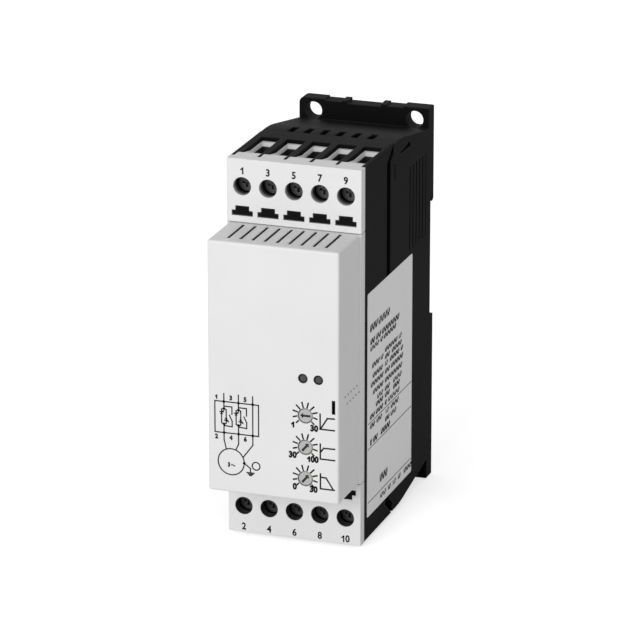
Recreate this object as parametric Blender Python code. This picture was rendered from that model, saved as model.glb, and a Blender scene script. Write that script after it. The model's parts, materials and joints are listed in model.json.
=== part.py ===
# Compact three-phase soft starter for a 35 mm rail or four screws.
# Metres, +Z up. The front faces -Y, and the origin is the middle of the bottom.

import math

import bmesh
import bpy
from mathutils import Matrix, Vector

mm = 0.001

# Overall size
width = 45.0 * mm
height = 128.8 * mm
depth = 95.0 * mm
clearance = 0.3 * mm          # between pieces that touch or slide
margin = 1.0 * mm             # how far a cutter runs past what it cuts

# Front cover and terminal covers
raised_depth = 20.1 * mm      # raised face to terminal plate
rim_depth = 3.6 * mm          # terminal plate to the cover's rear edge
plate_thickness = 2.2 * mm
face_thickness = 1.6 * mm     # wall behind the raised face, and its shelf
cover_wall = 1.1 * mm         # side walls of the raised box
raised_inset = 0.6 * mm       # raised box, in from each side
terminal_zone = 21.2 * mm     # plate showing above and below the raised box
cover_inset = 0.15 * mm       # cover ends, in from the housing's
cover_round = 0.7 * mm
rim_wall = 1.5 * mm

# Vent slots in the shelf
vent_count = 9
vent_pitch = 4.05 * mm
vent_width = 1.0 * mm
vent_front = 3.8 * mm         # slot ends, back from the raised face
vent_back = 19.0 * mm

# Terminals
terminal_count = 5
bank_margin = 0.85 * mm       # terminal bank to the housing's side
screw_inset = 9.05 * mm       # screw axis to the end of the plate
access_wall = 1.33 * mm       # access hole to the line between two terminals
head_gap = 0.7 * mm           # screw head to the chamber's side
head_length = 2.2 * mm
head_sunk = 1.1 * mm          # head, behind the cover's rear edge
head_chamfer = 0.3 * mm
shank_radius = 1.45 * mm
cross_width = 0.9 * mm
cross_span = 3.2 * mm
cross_depth = 1.4 * mm
cage_inset = 0.2 * mm         # cage's upper and lower face, in from the head's edge
cage_nut = 2.0 * mm           # threaded front wall
cage_jaw = 1.0 * mm           # rear wall, which clamps the wire
cage_side = 0.75 * mm
cage_travel = 4.2 * mm
partition = 0.86 * mm         # wall between two terminal chambers
wire_well = 3.0 * mm          # chamber past the cage, for the wire's end
bar_thickness = 1.0 * mm
bar_gap = 0.35 * mm           # bar to the cage's side
bar_overhang = 5.0 * mm       # bar lying on the power board
bar_tip = 0.4 * mm            # bar's end, in from the cage's end

# Windows in the terminal plate
window_bridge = 1.56 * mm     # between two windows
window_height = 1.8 * mm
window_gap = 2.35 * mm        # window to the raised box
window_shoulder = 1.2 * mm    # each side of the neck
window_neck_height = 1.5 * mm
tab_gap = 0.25 * mm           # housing's tab, inside its window
tab_sunk = 0.3 * mm           # tab below the plate's face

# Wire funnels
strip_depth = 7.2 * mm        # cover's end strip, back from the plate's face
strip_thickness = 2.0 * mm
slit_front = 3.6 * mm         # slits start here, back from the plate's face
divider = 0.5 * mm            # thin walls in the slits
pocket_bridge = 2.16 * mm     # between two pockets
pocket_shift = 0.85 * mm      # pocket centre from the screw axis
pocket_step = 1.2 * mm        # funnel's rim below the strip
pocket_inset = 0.1 * mm       # funnel's rear, in from the housing's
pocket_lean = 1.2 * mm        # its rear wall leans forward, towards the screw
throat_wall = 0.75 * mm       # throat to the funnel's side
throat_length = 8.0 * mm
throat_shift = 0.9 * mm       # throat centre from the screw axis
throat_drop = 2.35 * mm       # throat below the strip's face
finger_step = 0.1 * mm        # funnel's finger, below the strip it grows from
funnel_rim = 0.5 * mm         # level edge at the mouth's sides
funnel_rear_rim = 1.5 * mm

# Terminal housing
top_step = 1.3 * mm           # its top, below the flange's top
bottom_step = 1.2 * mm        # its bottom, above the flange's bottom
chamber_wall = 4.8 * mm       # behind the terminal chambers
housing_round = 0.55 * mm
lip_reach = 6.2 * mm          # each end runs back over the rear housing
lip_height = 5.2 * mm
lip_edge = 0.6 * mm
housing_wall = 1.5 * mm
block_height = 27.0 * mm      # solid terminal block at each end

# Rear housing
groove = 4.4 * mm             # groove between the two housings
groove_depth = 1.5 * mm
rear_wall = 2.0 * mm
rear_step = 1.7 * mm          # its top and bottom, in from the flange's
corner_back = 2.9 * mm        # its front is set back at both ends, round the lip
corner_slant = 1.9 * mm
corner_gap = 0.4 * mm         # corner below the lip's edge
shoulder = 10.7 * mm          # front to the start of the slope
shoulder_round = 4.0 * mm
slope_drop = 5.4 * mm
flange_thickness = 5.0 * mm
back_wall = 5.4 * mm
ear_width = 9.0 * mm
ear_round_left = 1.8 * mm
ear_round_right = 0.5 * mm
ear_step = 0.5 * mm           # flange between the ears, in from their ends
notch_width = 11.4 * mm
notch_depth = 0.4 * mm
tab_width = 2.0 * mm          # tabs beside the notch, as high as the ears
mount_radius = 2.9 * mm
mount_pitch = 35.0 * mm
mount_inset = 4.2 * mm        # mounting hole to the flange's end

# Side and top vents of the rear housing
side_vent_count = 6
side_vent_pitch = 3.35 * mm
side_vent_width = 1.2 * mm
side_vent_low = 86.1 * mm
side_vent_high = 114.7 * mm
side_vent_start = 20.0 * mm   # first slot, behind the groove
slot_start = 4.1 * mm         # short slot, behind the groove
slot_width = 1.2 * mm
slot_low = 114.0 * mm
slot_high = 120.2 * mm
top_vent_count = 6
top_vent_pitch = 5.4 * mm
top_vent_width = 2.4 * mm
top_vent_start = 5.1 * mm     # behind the groove
top_vent_length = 7.1 * mm
grip_depth = 1.2 * mm         # finger recess in each side
grip_start = 9.5 * mm
grip_length = 11.0 * mm
grip_height = 1.9 * mm
grip_drop = 5.5 * mm          # below the level part of the top

# Rail and latch
rail_height = 35.0 * mm
rail_centre = 80.3 * mm
rail_thickness = 1.0 * mm
rail_play = 0.3 * mm
recess_depth = 2.7 * mm       # down to the pads that the rail lies on
pad_height = 0.4 * mm
pad_inset = 6.5 * mm          # pad to the housing's side
pad_width = 4.0 * mm
pad_margin = 7.0 * mm         # pad ends, in from the rail's edges
recess_low = 57.5 * mm
lip_overlap = 1.6 * mm        # upper lip over the rail's edge
lip_chamfer = 1.3 * mm
latch_width = 10.0 * mm
latch_flange = 1.9 * mm       # each side, held under the channel's lips
latch_flange_depth = 1.3 * mm
latch_depth = 2.9 * mm
latch_length = 44.0 * mm
latch_hook = 1.8 * mm         # hook over the rail's lower edge
hook_root = 3.6 * mm          # hook's start, below the rail's lower edge
latch_travel = 3.5 * mm
latch_slot_width = 4.0 * mm
latch_slot_height = 1.8 * mm
latch_slot_up = 3.0 * mm      # slot above the latch's lower end

# Boards and power parts
board_thickness = 1.6 * mm
control_board_depth = 10.9 * mm   # raised face to the control board
control_board_inset = 4.0 * mm    # board ends, in from the raised box
post_size = 3.0 * mm
link_width = 12.0 * mm
link_height = 2.5 * mm
link_drop = 11.15 * mm        # below the ends of the upper contact bars
relay_side_gap = 0.5 * mm     # to the housing's wall
relay_height = 29.0 * mm
relay_depth = 15.2 * mm
relay_gap = 1.2 * mm
relay_inset = 5.0 * mm        # relays below the upper terminal block
module_side_gap = 2.0 * mm    # to the housing's wall
module_height = 30.0 * mm
module_depth = 11.0 * mm
module_gap = 5.0 * mm
module_inset = 4.0 * mm       # modules above the lower terminal block
leg_count = 3
leg_inset = 3.0 * mm          # outer legs, in from the module's sides
leg_size = 1.2 * mm
leg_up = 3.0 * mm             # legs above the module's lower end
sink_base = 5.0 * mm
sink_fin = 1.4 * mm
sink_fin_count = 9
sink_reach = 17.8 * mm        # base and fins together
sink_inset = 14.0 * mm        # ends, in from the housing's ends

# Dials and lamps
dial_count = 3
dial_inset = 11.8 * mm        # dial axes to the side
dial_top = 51.2 * mm
dial_pitch = 10.55 * mm
dial_radius = 2.25 * mm
dial_length = 2.3 * mm
dial_sunk = 0.2 * mm          # dial below the raised face
dial_shaft_radius = 1.6 * mm
arrow_length = 3.4 * mm
arrow_width = 0.75 * mm
arrow_depth = 0.8 * mm
arrow_head = 1.9 * mm
arrow_turns = (180.0, 50.0, 50.0)   # degrees, from +X towards +Z
pot_size = 6.5 * mm
pot_depth = 5.4 * mm
pot_floor = 1.0 * mm
lamp_count = 2
lamp_inset = 10.0 * mm        # midway between the lamps, to the side
lamp_pitch = 5.15 * mm
lamp_z = 63.6 * mm
lamp_radius = 1.3 * mm
lamp_chamfer = 0.26 * mm
lamp_collar_radius = 2.2 * mm
lamp_collar = 0.8 * mm
lamp_sunk = 0.1 * mm
reset_inset = 1.2 * mm        # narrow slot, in from the raised box's side
reset_width = 1.15 * mm
reset_low = 52.7 * mm
reset_high = 57.3 * mm

fine_sides = 24
round_sides = 16
sharp_angle = 35.0            # degrees; flatter edges are shaded smooth

# Places worked out from the sizes, front to back
front = -depth / 2
back = depth / 2
side = width / 2
plate_front = front + raised_depth
plate_back = plate_front + plate_thickness
cover_back = plate_front + rim_depth
strip_back = plate_front + strip_depth
housing_front = cover_back + clearance
flange_front = back - flange_thickness
cavity_back = back - back_wall
control_front = front + control_board_depth
control_back = control_front + board_thickness

head_front = cover_back + head_sunk
head_back = head_front + head_length
cage_front = head_back + clearance + cage_travel
nut_back = cage_front + cage_nut
bar_front = nut_back + clearance
bar_back = bar_front + bar_thickness
jaw_front = bar_back + clearance + cage_travel
cage_back = jaw_front + cage_jaw
chamber_back = cage_back + clearance
housing_back = chamber_back + chamber_wall
rear_front = housing_back + groove
power_front = bar_back + clearance
power_back = power_front + board_thickness
funnel_back = housing_back - pocket_inset

# Across
pitch = (width - 2 * bank_margin) / terminal_count
chamber_side = (pitch - partition) / 2
head_radius = chamber_side - head_gap
cage_side_out = chamber_side - clearance
cage_side_in = cage_side_out - cage_side
bar_side = cage_side_in - bar_gap
access_radius = pitch / 2 - access_wall
pocket_side = (pitch - pocket_bridge) / 2
finger_side = pocket_side - clearance
throat_side = finger_side - throat_wall
raised_side = side - raised_inset
cover_cavity = raised_side - cover_wall
housing_cavity = side - housing_wall
rear_cavity = side - rear_wall
relay_width = rear_cavity - relay_side_gap - relay_gap / 2
module_width = rear_cavity - module_side_gap - module_gap / 2
dial_x = side - dial_inset
lamp_x = side - lamp_inset

# Upwards
housing_low = bottom_step
housing_high = height - top_step
middle = (housing_low + housing_high) / 2
housing_half = (housing_high - housing_low) / 2
plate_half = housing_half - cover_inset
raised_half = plate_half - terminal_zone
screw_up = plate_half - screw_inset
cage_half = head_radius - cage_inset
chamber_end = screw_up + cage_half + clearance
chamber_floor = screw_up - cage_half - wire_well
block_floor = housing_half - block_height
bar_end = block_floor - bar_overhang

ends = (("upper", 1), ("lower", -1))


# Shapes

def add_block(shape, low, high):
    low, high = Vector(low), Vector(high)
    place = Matrix.Translation((low + high) / 2) @ Matrix.Diagonal((*(high - low), 1.0))
    bmesh.ops.create_cube(shape, size=1.0, matrix=place)


def add_prism(shape, outline, axis, start, end):
    # The outline is in (y, z), (x, z) or (x, y) for the axis X, Y or Z.
    along = "XYZ".index(axis)

    def corner(point, distance):
        place = list(point)
        place.insert(along, distance)
        return shape.verts.new(place)

    first = [corner(point, start) for point in outline]
    last = [corner(point, end) for point in outline]
    shape.faces.new(first)
    shape.faces.new(reversed(last))
    count = len(outline)
    for i in range(count):
        j = (i + 1) % count
        shape.faces.new((first[j], first[i], last[i], last[j]))


def add_taper(shape, *sections):
    # A section is a rectangle (x0, x1, y0, y1) and its height.
    rings = []
    for (x0, x1, y0, y1), z in sections:
        corners = ((x0, y0), (x1, y0), (x1, y1), (x0, y1))
        rings.append([shape.verts.new((x, y, z)) for x, y in corners])
    shape.faces.new(reversed(rings[0]))
    shape.faces.new(rings[-1])
    for low, high in zip(rings, rings[1:]):
        for i in range(4):
            j = (i + 1) % 4
            shape.faces.new((low[i], low[j], high[j], high[i]))


def add_turned(shape, profile, sides):
    # The profile is (distance along Y, radius), and it turns about the Y axis.
    rings = []
    for distance, radius in profile:
        if radius == 0:
            rings.append([shape.verts.new((0, distance, 0))])
            continue
        turn = [2 * math.pi * i / sides for i in range(sides)]
        rings.append([shape.verts.new((radius * math.cos(a), distance, radius * math.sin(a))) for a in turn])
    for ring, following in zip(rings, rings[1:]):
        for i in range(sides):
            j = (i + 1) % sides
            corners = [ring[i % len(ring)], ring[j % len(ring)],
                       following[j % len(following)], following[i % len(following)]]
            shape.faces.new(list(dict.fromkeys(corners)))


def circle(centre, radius, sides):
    turn = [2 * math.pi * (i + 0.5) / sides for i in range(sides)]
    return [(centre[0] + radius * math.cos(a), centre[1] + radius * math.sin(a)) for a in turn]


def round_edges(shape, radius, segments, chosen):
    edges = [edge for edge in shape.edges if chosen(*(vert.co for vert in edge.verts))]
    bmesh.ops.bevel(shape, geom=edges, offset=radius, offset_type="OFFSET", segments=segments,
                    profile=0.5, affect="EDGES", clamp_overlap=True)


def level(up, offset):
    # Height of something that the upper and the lower end share, mirrored.
    return middle + up * offset


def span(up, near, far):
    return tuple(sorted((level(up, near), level(up, far))))


# Objects

def finish(name, colour, roughness, metallic=0.0):
    material = bpy.data.materials.new(name)
    material.use_nodes = True
    shader = material.node_tree.nodes["Principled BSDF"]
    shader.inputs["Base Color"].default_value = (*colour, 1.0)
    shader.inputs["Roughness"].default_value = roughness
    shader.inputs["Metallic"].default_value = metallic
    material.diffuse_color = (*colour, 1.0)
    return material


def link(name, mesh, origin):
    piece = bpy.data.objects.new(name, mesh)
    piece.location = origin
    piece.parent = starter
    bpy.context.scene.collection.objects.link(piece)
    return piece


def mesh_of(name, shape, origin):
    bmesh.ops.recalc_face_normals(shape, faces=shape.faces)
    bmesh.ops.translate(shape, verts=shape.verts, vec=-Vector(origin))
    mesh = bpy.data.meshes.new(name)
    shape.to_mesh(mesh)
    shape.free()
    mesh.shade_smooth()
    mesh.set_sharp_from_angle(angle=math.radians(sharp_angle))
    return mesh


def node(name, shape, material, origin=(0, 0, 0)):
    mesh = mesh_of(name, shape, origin)
    mesh.materials.append(material)
    return link(name, mesh, origin)


def change(target, shape, operation, label):
    # Cuts the shape out of the target, or joins it to the target.
    origin = tuple(target.location)
    tool = link(f"{target.name}_{label}", mesh_of(label, shape, origin), origin)
    tool.hide_render = True
    tool.display_type = "WIRE"
    boolean = target.modifiers.new(label, "BOOLEAN")
    boolean.operation = operation
    boolean.object = tool


def cut(target, shape, label):
    change(target, shape, "DIFFERENCE", label)


def join(target, shape, label):
    change(target, shape, "UNION", label)


def finished_mesh(piece):
    graph = bpy.context.evaluated_depsgraph_get()
    return bpy.data.meshes.new_from_object(piece.evaluated_get(graph))


def screw_axes():
    return [(i - (terminal_count - 1) / 2) * pitch for i in range(terminal_count)]


def terminals():
    # Every terminal: its name, its end and its screw axis across the bank.
    for end_name, up in ends:
        for i, x in enumerate(screw_axes()):
            yield f"{end_name}_{i + 1}", up, x


def terminal_lines():
    return [(i - terminal_count / 2) * pitch for i in range(terminal_count + 1)]


def window_outline(up, x, gap):
    # T shape in (x, z), drawn in by a gap all round.
    low = raised_half + window_gap + gap
    high = raised_half + window_gap + window_height - gap
    top = high + window_neck_height
    wide = (pitch - window_bridge) / 2 - gap
    neck = wide - window_shoulder
    outline = ((-wide, low), (wide, low), (wide, high), (neck, high),
               (neck, top), (-neck, top), (-neck, high), (-wide, high))
    return [(x + px, level(up, pz)) for px, pz in outline]


# Front cover

def make_front_cover():
    body = bmesh.new()
    add_block(body, (-side, plate_front, level(-1, raised_half)), (side, cover_back, level(1, raised_half)))
    cover = node("front_cover", body, white_plastic, (0, plate_front, middle))

    raised = bmesh.new()
    add_block(raised, (-raised_side, front, level(-1, raised_half)),
              (raised_side, plate_back, level(1, raised_half)))
    round_edges(raised, cover_round, 3, lambda a, b: min(a.y, b.y) < plate_front - margin)
    join(cover, raised, "raised_box")

    rim = bmesh.new()
    add_block(rim, (rim_wall - side, plate_back, level(-1, raised_half + margin)),
              (side - rim_wall, cover_back + margin, level(1, raised_half + margin)))
    cut(cover, rim, "rim")

    hollow = bmesh.new()
    add_block(hollow, (-cover_cavity, front + face_thickness, level(-1, raised_half - face_thickness)),
              (cover_cavity, plate_back + margin, level(1, raised_half - face_thickness)))
    cut(cover, hollow, "hollow")

    vents = bmesh.new()
    for i in range(vent_count):
        x = (i - (vent_count - 1) / 2) * vent_pitch
        for up in (-1, 1):
            low, high = span(up, raised_half - face_thickness - margin, raised_half + margin)
            add_block(vents, (x - vent_width / 2, front + vent_front, low),
                      (x + vent_width / 2, front + vent_back, high))
    cut(cover, vents, "vents")

    face = bmesh.new()
    face_cut = (front - margin, front + face_thickness + margin)
    for x, z in dial_places():
        add_prism(face, circle((x, z), dial_radius + clearance, fine_sides), "Y", *face_cut)
    for x, z in lamp_places():
        add_prism(face, circle((x, z), lamp_radius + clearance, fine_sides), "Y", *face_cut)
    reset_side = raised_side - reset_inset
    add_block(face, (reset_side - reset_width, face_cut[0], reset_low), (reset_side, face_cut[1], reset_high))
    cut(cover, face, "face_openings")

    posts = bmesh.new()
    for x in (-1, 1):
        for up in (-1, 1):
            inner_x = x * (cover_cavity + cover_wall / 2)
            outer_x = x * (cover_cavity - post_size)
            low, high = span(up, raised_half - face_thickness / 2, raised_half - face_thickness - post_size)
            add_block(posts, (min(inner_x, outer_x), front + face_thickness / 2, low),
                      (max(inner_x, outer_x), control_front - clearance, high))
    join(cover, posts, "board_posts")


# Terminal covers, one for each end

def make_terminal_cover(end_name, up):
    body = bmesh.new()
    low, high = span(up, raised_half + clearance, plate_half)
    add_block(body, (-side, plate_front, low), (side, cover_back, high))
    cover = node(f"terminal_cover_{end_name}", body, white_plastic, (0, plate_front, level(up, raised_half)))

    strip = bmesh.new()
    outer_line = terminal_lines()[-1] - divider / 2 - clearance
    low, high = span(up, plate_half - strip_thickness, plate_half)
    add_block(strip, (-outer_line, plate_back, low), (outer_line, strip_back, high))
    join(cover, strip, "strip")

    rim = bmesh.new()
    low, high = span(up, raised_half, plate_half - strip_thickness)
    add_block(rim, (rim_wall - side, plate_back, low), (side - rim_wall, cover_back + margin, high))
    cut(cover, rim, "rim")

    collars = bmesh.new()
    holes = bmesh.new()
    collar_side = pitch / 2 - clearance
    for x in screw_axes():
        axis = (x, level(up, screw_up))
        add_prism(collars, circle(axis, collar_side, fine_sides), "Y",
                  plate_back - plate_thickness / 2, cover_back)
        add_prism(holes, circle(axis, access_radius, fine_sides), "Y",
                  plate_front - margin, cover_back + margin)
        add_prism(holes, window_outline(up, x, 0), "Y", plate_front - margin, plate_back + margin)
    join(cover, collars, "collars")
    cut(cover, holes, "access_holes")
    add_funnels(cover, up)


def add_funnels(cover, up):
    # A white finger runs back from the strip into each pocket, with a funnel sunk in it.
    fingers = bmesh.new()
    mouths = bmesh.new()
    slits = bmesh.new()
    finger_low = chamber_end + clearance
    for x in screw_axes():
        centre = x + pocket_shift
        outline = ((strip_back + clearance, finger_low), (funnel_back - pocket_lean, finger_low),
                   (funnel_back, plate_half - pocket_step), (bar_front, plate_half - pocket_step),
                   (strip_back, plate_half - finger_step), (strip_back - margin, plate_half - finger_step),
                   (strip_back - margin, plate_half - strip_thickness + finger_step),
                   (strip_back + clearance, plate_half - strip_thickness + finger_step))
        add_prism(fingers, [(y, level(up, z)) for y, z in outline], "X",
                  centre - finger_side, centre + finger_side)

        throat = (x + throat_shift - throat_side, x + throat_shift + throat_side,
                  bar_back, bar_back + throat_length)
        rim = (centre - finger_side + funnel_rim, centre + finger_side - funnel_rim,
               strip_back + clearance, funnel_back - funnel_rear_rim)
        reach = (throat_drop + margin) / (throat_drop - pocket_step)
        left, right, rear = (throat[i] + (rim[i] - throat[i]) * reach for i in (0, 1, 3))
        fore = throat[2] + (rim[2] - throat[2]) * (throat_drop + margin) / throat_drop
        add_taper(mouths, (throat, level(up, finger_low - margin)),
                  (throat, level(up, plate_half - throat_drop)),
                  ((left, right, fore, rear), level(up, plate_half + margin)))
    for x in terminal_lines()[1:-1]:
        low, high = span(up, plate_half - strip_thickness - margin, plate_half + margin)
        add_block(slits, (x - divider / 2 - clearance, plate_front + slit_front, low),
                  (x + divider / 2 + clearance, strip_back + margin, high))
    join(cover, fingers, "fingers")
    cut(cover, mouths, "funnel_mouths")
    cut(cover, slits, "slits")


# Terminal housing

def make_terminal_housing():
    body = bmesh.new()
    lip_back = housing_back + lip_reach
    upper = [(housing_front, housing_half), (lip_back, housing_half), (lip_back, housing_half - lip_edge),
             (housing_back, housing_half - lip_height)]
    outline = upper + [(y, -z) for y, z in reversed(upper)]
    add_prism(body, [(y, level(1, z)) for y, z in outline], "X", -side, side)
    round_edges(body, housing_round, 2, lambda a, b: abs(a.y - b.y) > lip_reach
                and abs(a.z - middle) > housing_half - clearance
                and abs(b.z - middle) > housing_half - clearance)
    housing = node("terminal_housing", body, black_plastic, (0, housing_front, middle))

    tabs = bmesh.new()
    for name, up, x in terminals():
        add_prism(tabs, window_outline(up, x, tab_gap), "Y", plate_front + tab_sunk, housing_front + margin)
    join(housing, tabs, "window_tabs")

    bay = bmesh.new()
    add_block(bay, (-housing_cavity, housing_front - margin, level(-1, block_floor)),
              (housing_cavity, housing_back + margin, level(1, block_floor)))
    cut(housing, bay, "power_bay")

    chambers = bmesh.new()
    slots = bmesh.new()
    pockets = bmesh.new()
    rebates = bmesh.new()
    for name, up, x in terminals():
        low, high = span(up, chamber_floor, chamber_end)
        add_block(chambers, (x - chamber_side, housing_front - margin, low),
                  (x + chamber_side, chamber_back, high))
        low, high = span(up, block_floor - margin, chamber_floor + margin)
        slot_side = bar_side + clearance
        add_block(slots, (x - slot_side, bar_front - clearance, low),
                  (x + slot_side, bar_back + clearance, high))
        rear = funnel_back + clearance
        outline = ((strip_back, chamber_end - margin / 2), (rear - pocket_lean, chamber_end - margin / 2),
                   (rear, plate_half - pocket_step), (rear, housing_half + margin),
                   (strip_back, housing_half + margin))
        centre = x + pocket_shift
        add_prism(pockets, [(y, level(up, z)) for y, z in outline], "X",
                  centre - pocket_side, centre + pocket_side)
        low, high = span(up, plate_half - strip_thickness - clearance, housing_half + margin)
        bay_side = (pitch - divider) / 2
        add_block(rebates, (x - bay_side, housing_front - margin, low),
                  (x + bay_side, strip_back + clearance, high))
    cut(housing, chambers, "chambers")
    cut(housing, slots, "bar_slots")
    cut(housing, pockets, "funnel_pockets")
    cut(housing, rebates, "strip_rebates")


# Rear housing

def slope_point(y):
    # Half height of the rear housing at a distance from front to back.
    start = rear_front + shoulder
    run = (y - start) / (flange_front - start)
    return height / 2 - rear_step - slope_drop * max(0.0, run)


def rear_outline():
    start = rear_front + shoulder
    corner_low = housing_half - lip_height - corner_gap
    upper = [(rear_front, corner_low), (rear_front + corner_back, corner_low + corner_slant),
             (rear_front + corner_back, slope_point(rear_front)), (start, slope_point(start)),
             (flange_front, slope_point(flange_front)), (flange_front, height / 2), (back, height / 2)]
    lower = [(y, -z) for y, z in reversed(upper)]
    return [(y, z + height / 2) for y, z in upper + lower]


def make_rear_housing():
    body = bmesh.new()
    add_prism(body, rear_outline(), "X", -side, side)
    start = rear_front + shoulder
    round_edges(body, shoulder_round, 3, lambda a, b: abs(a.y - start) < clearance
                and abs(b.y - start) < clearance
                and abs(a.z - b.z) < clearance)
    for radius, x in ((ear_round_left, -side), (ear_round_right, side)):
        round_edges(body, radius, 4, lambda a, b: abs(a.y - b.y) > flange_thickness / 2
                    and max(abs(a.x - x), abs(b.x - x)) < clearance
                    and min(abs(a.z - height), abs(a.z)) < clearance
                    and min(abs(b.z - height), abs(b.z)) < clearance)
    housing = node("rear_housing", body, black_plastic, (0, rear_front, height / 2))

    tongue = bmesh.new()
    tongue_side = side - groove_depth
    tongue_half = housing_half - lip_height - corner_gap - clearance
    add_block(tongue, (-tongue_side, housing_back + clearance, height / 2 - tongue_half),
              (tongue_side, rear_front + margin, height / 2 + tongue_half))
    join(housing, tongue, "tongue")

    hollow = bmesh.new()
    mouth_half = tongue_half - rear_wall
    step_back = rear_front + corner_back + rear_wall
    cavity = [(housing_back - margin, mouth_half), (step_back, mouth_half),
              (step_back, slope_point(rear_front) - rear_wall),
              (rear_front + shoulder, slope_point(rear_front) - rear_wall),
              (cavity_back, slope_point(cavity_back) - rear_wall)]
    outline = cavity + [(y, -z) for y, z in reversed(cavity)]
    add_prism(hollow, [(y, z + height / 2) for y, z in outline], "X", -rear_cavity, rear_cavity)
    cut(housing, hollow, "hollow")

    relief = bmesh.new()
    inner = side - ear_width
    for up in (-1, 1):
        def at(z):
            return height / 2 + up * z
        notch, tab = notch_width / 2, notch_width / 2 + tab_width
        top, step = height / 2 + margin, height / 2 - ear_step
        for x0, x1, low in ((-inner, -tab, step), (-notch, notch, step - notch_depth), (tab, inner, step)):
            add_prism(relief, [(x, at(z)) for x, z in ((x0, low), (x1, low), (x1, top), (x0, top))], "Y",
                      flange_front - margin, back + margin)
    cut(housing, relief, "flange_relief")

    holes = bmesh.new()
    for x in (-mount_pitch / 2, mount_pitch / 2):
        for z in (mount_inset, height - mount_inset):
            add_prism(holes, circle((x, z), mount_radius, fine_sides), "Y",
                      flange_front - margin, back + margin)
    cut(housing, holes, "mounting_holes")

    cut(housing, rear_vents(), "vents")
    cut(housing, side_grips(), "grips")
    cut(housing, rail_recess(), "rail_recess")
    join(housing, rail_pads(), "rail_pads")
    cut(housing, latch_channel(), "latch_channel")


def rear_vents():
    vents = bmesh.new()
    slots = [(rear_front + slot_start, slot_width, slot_low, slot_high)]
    for i in range(side_vent_count):
        y = rear_front + side_vent_start + i * side_vent_pitch
        slots.append((y, side_vent_width, side_vent_low, side_vent_high))
    for y, slot, low, high in slots:
        for x in (-1, 1):
            inner, outer = x * (rear_cavity - clearance), x * (side + margin)
            add_block(vents, (min(inner, outer), y - slot / 2, low), (max(inner, outer), y + slot / 2, high))
    for i in range(top_vent_count):
        x = (i - (top_vent_count - 1) / 2) * top_vent_pitch
        for low, high in ((-margin, rear_step + rear_wall + margin),
                          (height - rear_step - rear_wall - margin, height + margin)):
            add_block(vents, (x - top_vent_width / 2, rear_front + top_vent_start, low),
                      (x + top_vent_width / 2, rear_front + top_vent_start + top_vent_length, high))
    return vents


def side_grips():
    grips = bmesh.new()
    start = rear_front + grip_start
    end = start + grip_length
    floor = height - rear_step - grip_drop
    outline = ((start, floor), (end, floor), (end - margin, floor + grip_height),
               (start, floor + grip_height / 2))
    for x in (-1, 1):
        inner, outer = x * (side - grip_depth), x * (side + margin)
        add_prism(grips, outline, "X", min(inner, outer), max(inner, outer))
    return grips


# Rail recess and latch

rail_low = rail_centre - rail_height / 2
rail_high = rail_centre + rail_height / 2
rail_seat = back - recess_depth
recess_floor = rail_seat - pad_height
lip_front = rail_seat + rail_thickness + rail_play
latch_front = cavity_back + rear_wall + clearance
latch_low = rail_low - rail_play - latch_length


def rail_recess():
    recess = bmesh.new()
    outline = ((recess_floor, recess_low), (recess_floor, rail_high + rail_play),
               (lip_front, rail_high + rail_play),
               (lip_front, rail_high - lip_overlap), (back + margin, rail_high - lip_overlap + lip_chamfer),
               (back + margin, recess_low - lip_chamfer / 2))
    add_prism(recess, outline, "X", -side - margin, side + margin)
    return recess


def rail_pads():
    pads = bmesh.new()
    outer, inner = side - pad_inset, side - pad_inset - pad_width
    for x0, x1 in ((-outer, -inner), (inner, outer)):
        add_block(pads, (x0, recess_floor - margin, rail_low + pad_margin),
                  (x1, rail_seat, rail_high - pad_margin))
    return pads


def t_outline(half_width, half_flange, low, step, high):
    return ((-half_flange, low), (half_flange, low), (half_flange, step), (half_width, step),
            (half_width, high), (-half_width, high), (-half_width, step), (-half_flange, step))


def latch_channel():
    channel = bmesh.new()
    outline = t_outline(latch_width / 2 + clearance, latch_width / 2 + latch_flange + clearance,
                        latch_front - clearance, latch_front + latch_flange_depth + clearance, back + margin)
    add_prism(channel, outline, "Z", latch_low - latch_travel - clearance, rail_low + latch_hook + clearance)
    return channel


def make_rail_latch():
    body = bmesh.new()
    outline = t_outline(latch_width / 2, latch_width / 2 + latch_flange, latch_front,
                        latch_front + latch_flange_depth, latch_front + latch_depth)
    add_prism(body, outline, "Z", latch_low, rail_low - rail_play)
    latch = node("rail_latch", body, grey_plastic, (0, latch_front, latch_low))

    hook = bmesh.new()
    add_block(hook, (-latch_width / 2, lip_front, rail_low - hook_root),
              (latch_width / 2, latch_front + latch_depth - clearance / 2, rail_low + latch_hook))
    join(latch, hook, "hook")

    slot = bmesh.new()
    add_block(slot, (-latch_slot_width / 2, latch_front - margin, latch_low + latch_slot_up),
              (latch_slot_width / 2, back, latch_low + latch_slot_up + latch_slot_height))
    cut(latch, slot, "tool_slot")


# Terminal screws, cages and contact bars

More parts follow.
